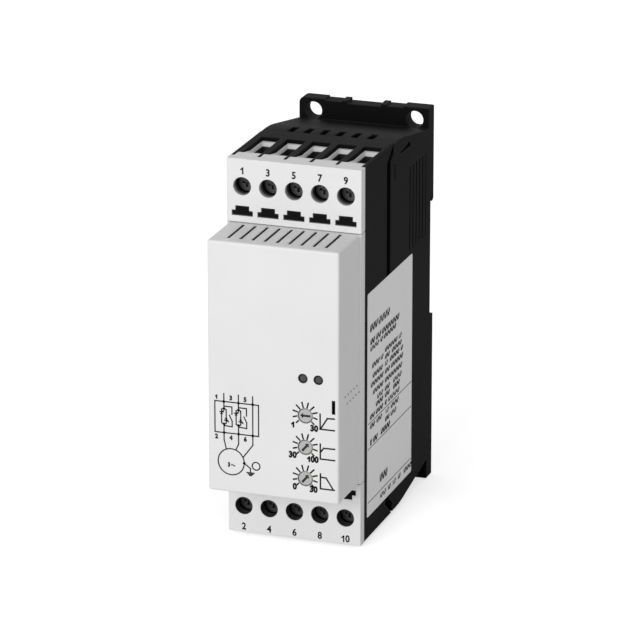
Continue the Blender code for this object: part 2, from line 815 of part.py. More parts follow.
def make_terminal_parts():
    screw = bmesh.new()
    end = bar_front - clearance - head_front
    add_turned(screw, ((0, 0), (0, head_radius - head_chamfer), (head_chamfer, head_radius),
                       (head_length, head_radius), (head_length, shank_radius), (end, shank_radius),
                       (end, 0)),
               round_sides)
    master_screw = node("screw_master", screw, plated_steel)
    cross = bmesh.new()
    arm, half = cross_span / 2, cross_width / 2
    outline = ((-arm, -half), (-half, -half), (-half, -arm), (half, -arm), (half, -half), (arm, -half),
               (arm, half), (half, half), (half, arm), (-half, arm), (-half, half), (-arm, half))
    add_prism(cross, outline, "Y", -margin, cross_depth)
    cut(master_screw, cross, "cross")

    cage = bmesh.new()
    add_block(cage, (-cage_side_out, cage_front, -cage_half), (cage_side_out, cage_back, cage_half))
    master_cage = node("cage_master", cage, plated_steel)
    window = bmesh.new()
    add_block(window, (-cage_side_in, nut_back, -cage_half - margin),
              (cage_side_in, jaw_front, cage_half + margin))
    cut(master_cage, window, "window")
    thread = bmesh.new()
    add_prism(thread, circle((0, 0), shank_radius + clearance, round_sides), "Y",
              cage_front - margin, nut_back + margin)
    cut(master_cage, thread, "thread")

    screw_mesh = finished_mesh(master_screw)
    cage_mesh = finished_mesh(master_cage)
    for master in (master_screw, master_cage):
        for modifier in master.modifiers:
            bpy.data.objects.remove(modifier.object)
        bpy.data.objects.remove(master)

    for name, up, x in terminals():
        z = level(up, screw_up)
        link(f"terminal_screw_{name}", screw_mesh, (x, head_front, z))
        link(f"terminal_cage_{name}", cage_mesh, (x, 0, z))
        bar = bmesh.new()
        low, high = span(up, bar_end, screw_up + cage_half - bar_tip)
        add_block(bar, (x - bar_side, bar_front, low), (x + bar_side, bar_back, high))
        node(f"contact_bar_{name}", bar, copper, (x, bar_front, z))


# Boards and power parts

def make_boards():
    control = bmesh.new()
    board_side = cover_cavity - clearance
    board_half = raised_half - control_board_inset
    add_block(control, (-board_side, control_front, level(-1, board_half)),
              (board_side, control_back, level(1, board_half)))
    node("control_board", control, board_green, (0, control_front, middle))

    power = bmesh.new()
    board_side = housing_cavity - clearance
    board_half = block_floor - clearance
    add_block(power, (-board_side, power_front, level(-1, board_half)),
              (board_side, power_back, level(1, board_half)))
    node("power_board", power, board_green, (0, power_front, middle))

    board_link = bmesh.new()
    z = level(1, bar_end - link_drop)
    add_block(board_link, (-link_width / 2, control_back + clearance, z - link_height / 2),
              (link_width / 2, power_front - clearance, z + link_height / 2))
    node("board_link", board_link, grey_plastic, (0, control_back, z))


def make_power_parts():
    relay_front = power_back + clearance
    relay_z = level(1, block_floor - relay_inset - relay_height / 2)
    for label, x in (("left", -1), ("right", 1)):
        relay = bmesh.new()
        inner, outer = x * relay_gap / 2, x * (relay_gap / 2 + relay_width)
        add_block(relay, (min(inner, outer), relay_front, relay_z - relay_height / 2),
                  (max(inner, outer), relay_front + relay_depth, relay_z + relay_height / 2))
        round_edges(relay, cover_round, 1, lambda a, b: abs(a.y - b.y) > relay_depth / 2)
        node(f"bypass_relay_{label}", relay, grey_plastic, (x * relay_gap, relay_front, relay_z))

    sink_front = cavity_back - clearance - sink_reach
    fin_front = sink_front + sink_base
    fin_back = cavity_back - clearance
    sink_side = rear_cavity - clearance
    fin_pitch = (2 * sink_side - sink_fin) / (sink_fin_count - 1)
    outline = [(-sink_side, sink_front), (sink_side, sink_front)]
    for i in reversed(range(sink_fin_count)):
        left = -sink_side + i * fin_pitch
        outline += [(left + sink_fin, fin_front), (left + sink_fin, fin_back), (left, fin_back),
                    (left, fin_front)]
    on_side = ((sink_side, fin_front), (-sink_side, fin_front))
    outline = [point for point in outline if point not in on_side]
    sink = bmesh.new()
    add_prism(sink, outline, "Z", sink_inset, height - sink_inset)
    node("heat_sink", sink, black_anodised, (0, sink_front, height / 2))

    module_back = sink_front - clearance
    module_front = module_back - module_depth
    module_z = level(-1, block_floor - module_inset - module_height / 2)
    for label, x in (("left", -1), ("right", 1)):
        module = bmesh.new()
        centre = x * (module_gap + module_width) / 2
        add_block(module, (centre - module_width / 2, module_front, module_z - module_height / 2),
                  (centre + module_width / 2, module_back, module_z + module_height / 2))
        thyristor = node(f"thyristor_module_{label}", module, dark_resin, (centre, module_back, module_z))
        legs = bmesh.new()
        low = module_z - module_height / 2 + leg_up
        leg_pitch = (module_width - 2 * leg_inset) / (leg_count - 1)
        for i in range(leg_count):
            leg_x = centre + (i - (leg_count - 1) / 2) * leg_pitch
            add_block(legs, (leg_x - leg_size / 2, power_back + clearance, low),
                      (leg_x + leg_size / 2, module_front + margin, low + leg_size))
        join(thyristor, legs, "legs")


# Dials and lamps

def dial_places():
    return [(dial_x, dial_top - i * dial_pitch) for i in range(dial_count)]


def lamp_places():
    return [(lamp_x + (i - (lamp_count - 1) / 2) * lamp_pitch, lamp_z) for i in range(lamp_count)]


def turned_point(point, degrees):
    angle = math.radians(degrees)
    return (point[0] * math.cos(angle) - point[1] * math.sin(angle),
            point[0] * math.sin(angle) + point[1] * math.cos(angle))


def make_dials():
    dial_front = front + dial_sunk
    pot_front = control_front - clearance - pot_depth
    shaft_end = control_front - clearance - pot_floor - clearance
    tail, tip, half = -arrow_length / 2, arrow_length / 2, arrow_width / 2
    neck = tip - arrow_head / 2
    arrow = ((tail, -half), (neck, -half), (neck, -arrow_head / 2), (tip, 0),
             (neck, arrow_head / 2), (neck, half), (tail, half))
    for i, (x, z) in enumerate(dial_places()):
        dial = bmesh.new()
        add_turned(dial, ((0, 0), (0, dial_radius - clearance / 2), (clearance / 2, dial_radius),
                          (dial_length, dial_radius), (dial_length, dial_shaft_radius),
                          (shaft_end - dial_front, dial_shaft_radius), (shaft_end - dial_front, 0)),
                   fine_sides)
        bmesh.ops.translate(dial, verts=dial.verts, vec=(x, dial_front, z))
        knob = node(f"dial_{i + 1}", dial, pale_plastic, (x, dial_front, z))
        slot = bmesh.new()
        pointer = [turned_point(point, arrow_turns[i]) for point in arrow]
        add_prism(slot, [(x + px, z + pz) for px, pz in pointer], "Y", dial_front - margin,
                  dial_front + arrow_depth)
        cut(knob, slot, "arrow")

        pot = bmesh.new()
        half_pot = pot_size / 2
        add_block(pot, (x - half_pot, pot_front, z - half_pot),
                  (x + half_pot, control_front - clearance, z + half_pot))
        body = node(f"potentiometer_{i + 1}", pot, blue_plastic, (x, pot_front, z))
        bore = bmesh.new()
        add_prism(bore, circle((x, z), dial_shaft_radius + clearance, round_sides), "Y",
                  pot_front - margin, shaft_end + clearance)
        cut(body, bore, "bore")


def make_lamps():
    lamp_front = front + lamp_sunk
    collar_front = front + face_thickness + clearance
    for i, (x, z) in enumerate(lamp_places()):
        lamp = bmesh.new()
        start = collar_front - lamp_front
        end = control_front - clearance - lamp_front
        add_turned(lamp, ((0, 0), (0, lamp_radius - lamp_chamfer), (lamp_chamfer, lamp_radius),
                          (start, lamp_radius), (start, lamp_collar_radius),
                          (start + lamp_collar, lamp_collar_radius), (start + lamp_collar, lamp_radius),
                          (end, lamp_radius), (end, 0)),
                   round_sides)
        bmesh.ops.translate(lamp, verts=lamp.verts, vec=(x, lamp_front, z))
        node(f"status_lamp_{i + 1}", lamp, lamp_plastic, (x, lamp_front, z))


for old in list(bpy.data.objects):
    bpy.data.objects.remove(old, do_unlink=True)

starter = bpy.data.objects.new("soft_starter", None)
bpy.context.scene.collection.objects.link(starter)

white_plastic = finish("white_plastic", (0.80, 0.80, 0.80), 0.45)
black_plastic = finish("black_plastic", (0.018, 0.018, 0.020), 0.5)
grey_plastic = finish("grey_plastic", (0.25, 0.26, 0.27), 0.5)
pale_plastic = finish("pale_plastic", (0.62, 0.62, 0.60), 0.45)
blue_plastic = finish("blue_plastic", (0.05, 0.12, 0.35), 0.4)
lamp_plastic = finish("lamp_plastic", (0.10, 0.10, 0.10), 0.25)
dark_resin = finish("dark_resin", (0.03, 0.03, 0.03), 0.6)
board_green = finish("board_green", (0.03, 0.16, 0.07), 0.4)
plated_steel = finish("plated_steel", (0.62, 0.62, 0.60), 0.35, 1.0)
copper = finish("copper", (0.80, 0.47, 0.32), 0.35, 1.0)
black_anodised = finish("black_anodised", (0.03, 0.03, 0.032), 0.45, 0.6)

make_front_cover()
for end_name, up in ends:
    make_terminal_cover(end_name, up)
make_terminal_housing()
make_rear_housing()
make_rail_latch()
make_terminal_parts()
make_boards()
make_power_parts()
make_dials()
make_lamps()
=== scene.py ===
import json
import math

import bpy
from mathutils import Matrix, Vector


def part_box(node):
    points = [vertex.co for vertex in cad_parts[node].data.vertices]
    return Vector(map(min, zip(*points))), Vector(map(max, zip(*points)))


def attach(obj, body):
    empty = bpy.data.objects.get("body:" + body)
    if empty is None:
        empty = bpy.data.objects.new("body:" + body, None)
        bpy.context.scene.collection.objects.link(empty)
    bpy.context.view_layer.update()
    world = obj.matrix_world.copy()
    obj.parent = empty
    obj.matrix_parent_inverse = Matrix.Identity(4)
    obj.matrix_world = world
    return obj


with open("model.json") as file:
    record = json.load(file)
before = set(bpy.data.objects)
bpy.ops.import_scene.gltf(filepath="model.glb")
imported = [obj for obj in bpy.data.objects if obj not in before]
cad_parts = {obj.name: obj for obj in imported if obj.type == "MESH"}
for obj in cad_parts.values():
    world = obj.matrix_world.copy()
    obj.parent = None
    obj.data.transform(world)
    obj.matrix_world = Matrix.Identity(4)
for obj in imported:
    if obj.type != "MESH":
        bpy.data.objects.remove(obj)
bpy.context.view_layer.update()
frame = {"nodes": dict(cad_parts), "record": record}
print("frame loaded:", len(frame["nodes"]), "nodes")

mm = 0.001                    # the dictionaries below give places and sizes in millimetres
turn = math.radians


# shading, kept short by a wrapper for sockets


class Wire:
    # one output socket; sums and comparisons on it add Math nodes
    def __init__(self, finish, socket):
        self.finish = finish
        self.socket = socket

    def maths(self, operation, first, second):
        return self.finish.add("ShaderNodeMath", {"operation": operation}, {0: first, 1: second})

    def __add__(self, other):
        return self.maths("ADD", self, other)

    def __sub__(self, other):
        return self.maths("SUBTRACT", self, other)

    def __rsub__(self, other):
        return self.maths("SUBTRACT", other, self)

    def __mul__(self, other):
        return self.maths("MULTIPLY", self, other)

    def __gt__(self, other):
        return self.maths("GREATER_THAN", self, other)

    def __lt__(self, other):
        return self.maths("LESS_THAN", self, other)

    __radd__ = __add__
    __rmul__ = __mul__


class Shading:
    # the node tree of a material or a world, and its shader
    def __init__(self, owner, shader):
        owner.use_nodes = True
        self.tree = owner.node_tree
        self.shader = self.tree.nodes[shader]

    def join(self, value, socket):
        if isinstance(value, Wire):
            self.tree.links.new(value.socket, socket)
        else:
            socket.default_value = value

    def set(self, label, value):
        self.join(value, self.shader.inputs[label])

    def add(self, kind, settings, inputs, output=0):
        node = self.tree.nodes.new(kind)
        for label, value in settings.items():
            setattr(node, label, value)
        for label, value in inputs.items():
            self.join(value, node.inputs[label])
        return Wire(self, node.outputs[output])


grain = {
    "detail": 3.0,            # of the fine noises
    "relief": 0.05 * mm,
    "samples": 4,
}


class Finish(Shading):
    # one material, whose tone is built up layer by layer
    def __init__(self, name, colour, roughness, **fixed):
        self.material = bpy.data.materials.new(name)
        super().__init__(self.material, "Principled BSDF")
        self.colour = colour
        self.roughness = roughness
        self.tone = (*colour, 1.0)
        self.set("Base Color", self.tone)
        self.set("Roughness", roughness)
        for label, value in fixed.items():
            self.set(label.replace("_", " "), value)

    def place(self):
        return self.add("ShaderNodeTexCoord", {}, {}, "Object")

    def along(self, axis):
        return self.add("ShaderNodeSeparateXYZ", {}, {0: self.place()}, axis)

    def noise(self, scale, detail=2.0, stretch=(1.0, 1.0, 1.0)):
        spot = self.add("ShaderNodeMapping", {}, {"Vector": self.place(), "Scale": stretch})
        return self.add("ShaderNodeTexNoise", {}, {"Vector": spot, "Scale": scale, "Detail": detail})

    def band(self, wire, low, high):
        # 0 to 1 as the wire goes from low to high
        return self.add("ShaderNodeMapRange", {}, {0: wire, 1: low, 2: high, 3: 0.0, 4: 1.0})

    def inside(self, low, high):
        # 1 between two corners, 0 elsewhere
        tests = [test for axis, start, end in zip("XYZ", low, high)
                 for test in (self.along(axis) > start * mm, self.along(axis) < end * mm)]
        share = tests[0]
        for test in tests[1:]:
            share = share * test
        return share

    def bumps(self, height, strength, edge):
        # a fine relief over softened edges
        soft = self.add("ShaderNodeBevel", {"samples": grain["samples"]}, {"Radius": edge})
        self.set("Normal", self.add("ShaderNodeBump", {}, {
            "Strength": strength, "Distance": grain["relief"], "Height": height, "Normal": soft}))
        return soft

    def edges(self, soft):
        # near 1 along outer and inner edges, 0 on flats
        flat = self.add("ShaderNodeNewGeometry", {}, {}, "True Normal")
        return 1.0 - self.add("ShaderNodeVectorMath", {"operation": "DOT_PRODUCT"},
                              {0: soft, 1: flat}, "Value")

    def shade(self, share, colour):
        # lays a colour over the tone so far
        self.tone = self.add("ShaderNodeMix", {"data_type": "RGBA"},
                             {0: share, 6: self.tone, 7: (*colour, 1.0)}, 2)
        self.set("Base Color", self.tone)

    def drift(self, share, dim, spread):
        # the tone goes from dimmed to full with the share, and the roughness with it
        self.tone = (*(part * dim for part in self.colour), 1.0)
        self.shade(share, self.colour)
        self.set("Roughness", share * spread + (self.roughness - spread / 2))


# finishes, one for each material slot

moulding = {
    "driftScale": 45.0,
    "dim": 0.94,
    "spread": 0.08,
    # painted highlight along edges: the band of the edge mask used and its share
    "edgeHighlightBand": (0.02, 0.25),
    "edgeHighlightShare": 0.5,
}


def moulded(name, colour, roughness, lift, skin=2600.0, strength=0.25, edge=0.25, **fixed):
    # plain moulded plastic: slow drift, fine skin, and edges lightened by lift as a painted highlight
    finish = Finish(name, colour, roughness, **fixed)
    finish.drift(finish.noise(moulding["driftScale"]), moulding["dim"], moulding["spread"])
    soft = finish.bumps(finish.noise(skin, grain["detail"]), strength, edge * mm)
    # painted highlight: the edge mask lightens the tone along outer and inner edges
    paintedEdgeHighlight = finish.band(finish.edges(soft), *moulding["edgeHighlightBand"]) * moulding["edgeHighlightShare"]
    finish.shade(paintedEdgeHighlight, tuple(min(1.0, part + lift) for part in colour))
    return finish


cover = {
    "sideWall": 1.65,         # walls of the raised box, with its inset
    "endWall": 0.3,
    "faceWall": 1.5,
    "middle": 64.35,          # height of the plane that mirrors the two ends
    # painted shade laid on the hollow and on the recesses below
    "paintedShade": (0.012, 0.012, 0.013),
    "paintedShadeRecesses": (
        ((18.0, -47.2, 52.0), (21.6, -45.0, 58.0)),           # narrow slot
        ((8.0, -47.2, 61.0), (17.0, -45.0, 66.5)),            # lamps
    ),
    # painted shade in the terminal holes and throats, mirrored to both ends
    "holes": ((-21.4, -27.2, 43.0), (21.4, -12.0, 58.5)),     # heights from the middle
    "holeDepth": (-27.3, -24.9),
    "throats": ((-21.4, -12.9, 57.0), (21.4, -4.5, 60.7)),
    "deepShade": (0.02, 0.02, 0.02),
}


def mirrored(box):
    # a box at the upper end and its mirror image at the lower end
    low, high = box
    middle = cover["middle"]
    return (((*low[:2], middle + low[2]), (*high[:2], middle + high[2])),
            ((*low[:2], middle - high[2]), (*high[:2], middle - low[2])))


def whiteCovers():
    # painted shade: the hollow is painted near black, and the holes and throats go dark, the upper holes
    # with their depth
    finish = moulded("whitePlastic", (0.82, 0.82, 0.82), 0.46, 0.05)
    low, high = (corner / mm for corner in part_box("front_cover"))
    side, end = cover["sideWall"], cover["endWall"]
    hollow = ((low.x + side, low.y + cover["faceWall"], low.z + end),
              (high.x - side, high.y, high.z - end))
    # painted shade over the hollow and the slot and lamp recesses
    for box in (hollow, *cover["paintedShadeRecesses"]):
        finish.shade(finish.inside(*box), cover["paintedShade"])
    # painted shade in the holes, growing with depth in the upper ones
    depth = finish.band(finish.along("Y"), *(place * mm for place in cover["holeDepth"]))
    upper, lower = mirrored(cover["holes"])
    finish.shade(depth * finish.inside(*upper), cover["deepShade"])
    for box in (lower, *mirrored(cover["throats"])):
        finish.shade(finish.inside(*box), cover["deepShade"])
    return finish


vents = {
    "low": 85.8,              # side vents of the rear housing
    "high": 115.0,
    "start": 19.0,            # behind the housing's front
    "end": 40.0,
    "skin": 0.15,             # the outer face keeps its tone to this depth
    "wall": 2.2,
    "paintedShade": (0.0008, 0.0008, 0.0008),
}


def blackShells():
    # black plastic, with painted shade on the walls inside the side vents
    finish = moulded("blackPlastic", (0.006, 0.006, 0.0065), 0.60, 0.09, edge=0.5,
                     Specular_IOR_Level=0.04)
    low, high = (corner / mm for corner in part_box("rear_housing"))
    for side in (-1, 1):
        near, far = sorted((side * (high.x - vents["wall"]), side * (high.x - vents["skin"])))
        # painted shade on the walls inside each side vent
        finish.shade(finish.inside((near, low.y + vents["start"], vents["low"]),
                                   (far, low.y + vents["end"], vents["high"])), vents["paintedShade"])
    return finish


drawnMetal = {
    "lines": 1500.0,
    "strength": 0.2,
    "edge": 0.12,
    "dim": 0.82,
    "spread": 0.2,
}


def metal(name, colour, roughness, stretch):
    # fine lines, stretched along the way the metal was drawn
    finish = Finish(name, colour, roughness, Metallic=1.0)
    lines = finish.noise(drawnMetal["lines"], grain["detail"], stretch)
    finish.bumps(lines, drawnMetal["strength"], drawnMetal["edge"] * mm)
    finish.drift(lines, drawnMetal["dim"], drawnMetal["spread"])
    return finish


dialCap = {
    "face": -47.3,
    "slotDepth": 0.15,        # behind the face by more than this it is the arrow slot
    "slotColour": (0.03, 0.03, 0.03),
    "skin": 2600.0,
    "strength": 0.2,
    "edge": 0.12,
}


def dialFace(name, colour, roughness):
    # light cap, dark inside its arrow slot
    finish = Finish(name, colour, roughness)
    finish.bumps(finish.noise(dialCap["skin"], grain["detail"]), dialCap["strength"], dialCap["edge"] * mm)
    finish.shade(finish.along("Y") > (dialCap["face"] + dialCap["slotDepth"]) * mm, dialCap["slotColour"])
    return finish


lamps = {
    "x": 12.5,                # halfway between the two
    "half": 2.575,
    "z": 63.6,
    "radius": 1.3,
    # the lighter middle below is a painted reflection
    "reflectionRadius": 0.5,            # radius of the lighter middle
    "coat": 0.6,
}


def lampLens(name, rim, centre, roughness):
    # smoked lens, lighter in its middle than at its rim, the lighter middle being a painted reflection
    finish = Finish(name, centre, roughness, Coat_Weight=lamps["coat"])
    away = finish.add("ShaderNodeMath", {"operation": "ABSOLUTE"},
                      {0: finish.along("X") - lamps["x"] * mm})
    across = (away - lamps["half"] * mm) * (1 / mm)
    up = (finish.along("Z") - lamps["z"] * mm) * (1 / mm)
    # painted reflection: the middle is lighter than the dark rim
    finish.shade(finish.band(across * across + up * up, lamps["reflectionRadius"] ** 2, lamps["radius"] ** 2), rim)
    return finish


boards = {
    "pattern": {"offset": 0.37, "squash": 0.6, "squash_frequency": 3},
    "scale": 160.0,
    "gap": 0.06,
    "trackLift": 1.7,
    "strength": 0.4,
    "edge": 0.1,
    "roughness": 0.35,
    "coat": 0.3,
}


def circuitBoard(name, colour):
    # solder mask with a maze of slightly raised tracks
    finish = Finish(name, colour, boards["roughness"], Coat_Weight=boards["coat"])
    spot = finish.add("ShaderNodeMapping", {}, {"Vector": finish.place(), "Rotation": (turn(90), 0.0, 0.0)})
    tracks = finish.add("ShaderNodeTexBrick", boards["pattern"],
                        {"Vector": spot, "Scale": boards["scale"], "Mortar Size": boards["gap"]}, "Fac")
    finish.bumps(tracks, boards["strength"], boards["edge"] * mm)
    finish.shade(tracks, tuple(part * boards["trackLift"] for part in colour))
    return finish


printing = {
    "mottle": 700.0,
    "dim": 0.95,
    "spread": 0.1,
    "thickness": 0.03,
    "weld": 0.0001,           # points nearer than this become one
}


def satin(name, colour, roughness, **fixed):
    # printed film or ink: flat with a faint mottle
    finish = Finish(name, colour, roughness, **fixed)
    finish.drift(finish.noise(printing["mottle"]), printing["dim"], printing["spread"])
    return finish


finishes = {
    "white_plastic": whiteCovers(),
    "black_plastic": blackShells(),
    "grey_plastic": moulded("greyPlastic", (0.22, 0.23, 0.24), 0.5, 0.05),
    "pale_plastic": dialFace("dialPlastic", (0.47, 0.47, 0.46), 0.45),
    "blue_plastic": moulded("bluePlastic", (0.03, 0.09, 0.30), 0.4, 0.04),
    "lamp_plastic": lampLens("smokedLens", (0.012, 0.012, 0.013), (0.052, 0.052, 0.054), 0.22),
    "dark_resin": moulded("darkResin", (0.03, 0.03, 0.03), 0.6, 0.02, skin=900.0, strength=0.4),
    "board_green": circuitBoard("circuitBoard", (0.02, 0.13, 0.05)),
    "plated_steel": metal("platedSteel", (0.095, 0.095, 0.093), 0.36, (1.0, 0.15, 1.0)),
    "copper": metal("copperBar", (0.76, 0.42, 0.28), 0.36, (1.0, 1.0, 0.1)),
    "black_anodised": metal("anodisedFins", (0.018, 0.018, 0.019), 0.45, (1.0, 1.0, 0.08)),
}
inkBlack = satin("blackInk", (0.008, 0.008, 0.008), 0.5, Specular_IOR_Level=0.1)
inkGrey = satin("greyInk", (0.05, 0.05, 0.05), 0.5, Specular_IOR_Level=0.1)
labelFilm = satin("labelFilm", (0.95, 0.95, 0.955), 0.42)

slotOf = {entry["node"]: entry["material_slot"] for entry in frame["record"]["subparts"]}
for name, node in frame["nodes"].items():
    node.material_slots[0].material = finishes[slotOf[name]].material
print("finishes made:", len(bpy.data.materials))


# flat print, drawn in the XY plane and then stood against its face


def only(piece):
    bpy.ops.object.select_all(action="DESELECT")
    piece.select_set(True)
    bpy.context.view_layer.objects.active = piece


def settle(piece):
    only(piece)
    bpy.ops.object.transform_apply(location=True, rotation=True, scale=True)
    return piece


def bar(start, end, width):
    # a straight stroke between two points in millimetres
    bpy.ops.object.select_all(action="DESELECT")
    run = Vector(end) - Vector(start)
    middle = (Vector(start) + Vector(end)) / 2 * mm
    bpy.ops.mesh.primitive_plane_add(size=1.0, location=(middle.x, middle.y, 0.0),
                                     rotation=(0.0, 0.0, math.atan2(run.y, run.x)))
    stroke = bpy.context.object
    stroke.scale = ((run.length + width) * mm, width * mm, 1.0)
    return settle(stroke)


def path(points, width):
    return [bar(start, end, width) for start, end in zip(points, points[1:])]


def dot(centre, radius, corners=24):
    bpy.ops.object.select_all(action="DESELECT")
    bpy.ops.mesh.primitive_circle_add(vertices=corners, radius=radius * mm, fill_type="NGON",
                                      location=(centre[0] * mm, centre[1] * mm, 0.0))
    return settle(bpy.context.object)


def ring(centre, radius, width, corners=48):
    bpy.ops.object.select_all(action="DESELECT")
    bpy.ops.mesh.primitive_circle_add(vertices=corners, radius=(radius + width / 2) * mm,
                                      location=(centre[0] * mm, centre[1] * mm, 0.0))
    inner = (radius - width / 2) / (radius + width / 2)
    bpy.ops.object.mode_set(mode="EDIT")
    bpy.ops.mesh.select_all(action="SELECT")
    bpy.ops.mesh.extrude_region()
    bpy.ops.transform.resize(value=(inner, inner, 1.0))
    bpy.ops.mesh.select_all(action="SELECT")
    bpy.ops.mesh.normals_make_consistent(inside=False)
    bpy.ops.object.mode_set(mode="OBJECT")
    return settle(bpy.context.object)


figures = {
    "capHeight": 0.7,         # a figure's height, as a share of the font's size
    "curveSteps": 3,
    "narrow": 0.9,
    "step": 0.67,             # this and the rest are shares of a figure's height
    "stem": 0.11,
    "stemPlace": 0.1,
    "flagPlace": -0.17,
    "flagDrop": 0.24,
    "flagWidth": 0.9,         # as a share of the stem's width
}


def digit(figure, x, z, height, weight):
    bpy.ops.object.select_all(action="DESELECT")
    bpy.ops.object.text_add(location=(x * mm, z * mm, 0.0))
    mark = bpy.context.object
    mark.scale.x = figures["narrow"]
    mark.data.body = figure
    mark.data.size = height * mm / figures["capHeight"]
    mark.data.align_x = "CENTER"
    mark.data.align_y = "CENTER"
    mark.data.resolution_u = figures["curveSteps"]
    mark.data.offset = weight * height * mm
    bpy.ops.object.convert(target="MESH")
    return settle(bpy.context.object)


def figureOne(x, z, height, weight):
    # a stem with a flag
    stroke = height * (figures["stem"] + 2 * weight)
    stem, flag = x + figures["stemPlace"] * height, x + figures["flagPlace"] * height
    half = (height - stroke) / 2
    return [bar((stem, z - half), (stem, z + half), stroke),
            bar((flag, z + half - figures["flagDrop"] * height), (stem, z + half),
                stroke * figures["flagWidth"])]


def number(value, centre, height, weight):
    # figures set one by one about a centre
    text, marks = str(value), []
    for i, figure in enumerate(text):
        x, z = centre[0] + (i - (len(text) - 1) / 2) * figures["step"] * height, centre[1]
        if figure == "1":
            marks += figureOne(x, z, height, weight)
        else:
            marks.append(digit(figure, x, z, height, weight))
    return marks


def printed(name, marks, ink, facing, plane, thickness=printing["thickness"]):
    # joins the marks, gives the ink its thickness and stands it on a face
    only(marks[0])
    for mark in marks:
        mark.select_set(True)
    if len(marks) > 1:
        bpy.ops.object.join()
    piece = bpy.context.object
    piece.name = name
    bpy.ops.object.mode_set(mode="EDIT")
    bpy.ops.mesh.select_all(action="SELECT")
    bpy.ops.mesh.remove_doubles(threshold=printing["weld"] * mm)
    bpy.ops.object.mode_set(mode="OBJECT")
    for face in piece.data.polygons:
        if face.normal.z < 0:
            face.flip()
    solid = piece.modifiers.new("inkDepth", "SOLIDIFY")
    solid.thickness = thickness * mm
    solid.offset = 1.0
    bpy.ops.object.modifier_apply(modifier=solid.name)
    stand = Matrix.Rotation(turn(90), 4, "X")
    if facing == "right":
        stand = Matrix.Rotation(turn(90), 4, "Z") @ stand
        lift = Vector((plane * mm, 0.0, 0.0))
    else:
        lift = Vector((0.0, plane * mm, 0.0))
    piece.matrix_world = Matrix.Translation(lift) @ stand
    settle(piece)
    piece.data.materials.clear()
    piece.data.materials.append(ink.material)
    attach(piece, "housing")


# marks on the raised face

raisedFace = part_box("front_cover")[0].y / mm

dialMarks = {
    "x": 10.7,
    "centres": (51.65, 41.1, 30.55),
    "below": 0.45,            # dial axis below the centre of its scale
    "ticks": 10,
    "firstAngle": -45.0,
    "lastAngle": 225.0,
    "outer": 4.05,
    "holeClear": 2.66,        # ticks start this far from the dial's axis
    "width": 0.52,
    "ends": ((1, 30), (30, 100), (0, 30)),
    "endPlaces": (((6.6, 47.9), (13.7, 47.3)), ((6.5, 37.7), (13.2, 36.9)), ((7.2, 27.1), (13.5, 26.8))),
    "height": 1.95,
    "weight": 0.095,
}


def dialTicks(centre):
    marks = []
    below, clear, width = dialMarks["below"], dialMarks["holeClear"], dialMarks["width"]
    step = (dialMarks["lastAngle"] - dialMarks["firstAngle"]) / (dialMarks["ticks"] - 1)
    for i in range(dialMarks["ticks"]):
        angle = turn(dialMarks["firstAngle"] + i * step)
        inner = -below * math.sin(angle) + math.sqrt(clear ** 2 - (below * math.cos(angle)) ** 2)
        tick = [(dialMarks["x"] + reach * math.cos(angle), centre + reach * math.sin(angle))
                for reach in (inner + width / 2, dialMarks["outer"])]
        marks.append(bar(*tick, width))
    return marks


def dialScales():
    marks = []
    for centre, ends, places in zip(dialMarks["centres"], dialMarks["ends"], dialMarks["endPlaces"]):
        marks += dialTicks(centre)
        for value, place in zip(ends, places):
            marks += number(value, place, dialMarks["height"], dialMarks["weight"])
    return marks


rampMarks = {
    "width": 0.50,
    "lines": (
        ((15.7, 52.4), (15.7, 47.4), (20.4, 47.4)), ((15.9, 47.6), (18.1, 51.2), (20.4, 51.3)),
        ((15.75, 42.4), (15.75, 37.4), (20.5, 37.4)), ((15.9, 39.8), (16.9, 41.1), (20.5, 41.2)),
        ((15.8, 32.4), (15.8, 27.4), (20.4, 27.4)), ((15.95, 31.3), (17.7, 31.2), (20.0, 27.6)),
    ),
}


def rampSymbols():
    return [mark for points in rampMarks["lines"] for mark in path(points, rampMarks["width"])]


wiring = {
    "line": 0.40,
    "left": -19.6,            # frame round the thyristors
    "right": -4.9,
    "top": 52.95,
    "bottom": 42.5,
    "poles": (-16.55, -11.65, -6.85),
    "switched": 2,            # so many poles have thyristors, and the rest run straight through
    "poleTop": 55.6,
    "node": 0.48,
    "height": 1.45,
    "weight": 0.095,
    "numberSide": -2.55,      # numbers beside the poles
    "numberAbove": 54.3,
    "numberBelow": 40.95,
}
thyristors = {
    "high": 50.6,             # nodes above and below the pair
    "low": 45.4,
    "corner": 0.3,
    "left": -0.8,             # sides of the loop, from the pole
    "right": 0.75,
    "centres": (48.9, 47.2),              # heights of the left and the right one
    "radius": 0.62,
    "barHalf": 0.55,
    "barLift": 0.5,
    "gate": ((0.1, 0.5), (0.75, 0.95)),   # from the thyristor's centre
    "contact": (              # from the pole, and up from the housing's foot
        ((0.0, 51.4), (2.7, 51.4), (2.7, 48.9)),
        ((1.85, 48.5), (2.75, 46.6), (2.75, 44.7), (0.0, 44.9)),
    ),
}
motor = {
    "centre": (-14.2, 32.9),
    "radius": 4.4,
    "bends": (40.2, 39.2, 39.3),          # where each pole turns towards the motor
    "feeds": ((-15.8, 37.0), (-12.6, 37.0), (-10.2, 34.8)),
    "markDrop": 1.1,          # the figure and the wave, below the centre
    "figure": 3,
    "figurePlace": -0.75,
    "figureHeight": 1.3,
    "wavePlace": 0.05,
    "wavePoints": 7,
    "waveStep": 0.2,
    "waveTurn": 60,           # degrees from one point to the next
    "waveHeight": 0.25,
    "waveLine": 0.28,
}
earth = {
    "centre": (-7.7, 29.9),
    "bend": 31.35,
    "halves": (1.2, 0.8, 0.35),
    "step": 0.45,
    "ring": (-5.8, 32.35),
    "ringRadius": 1.3,
}


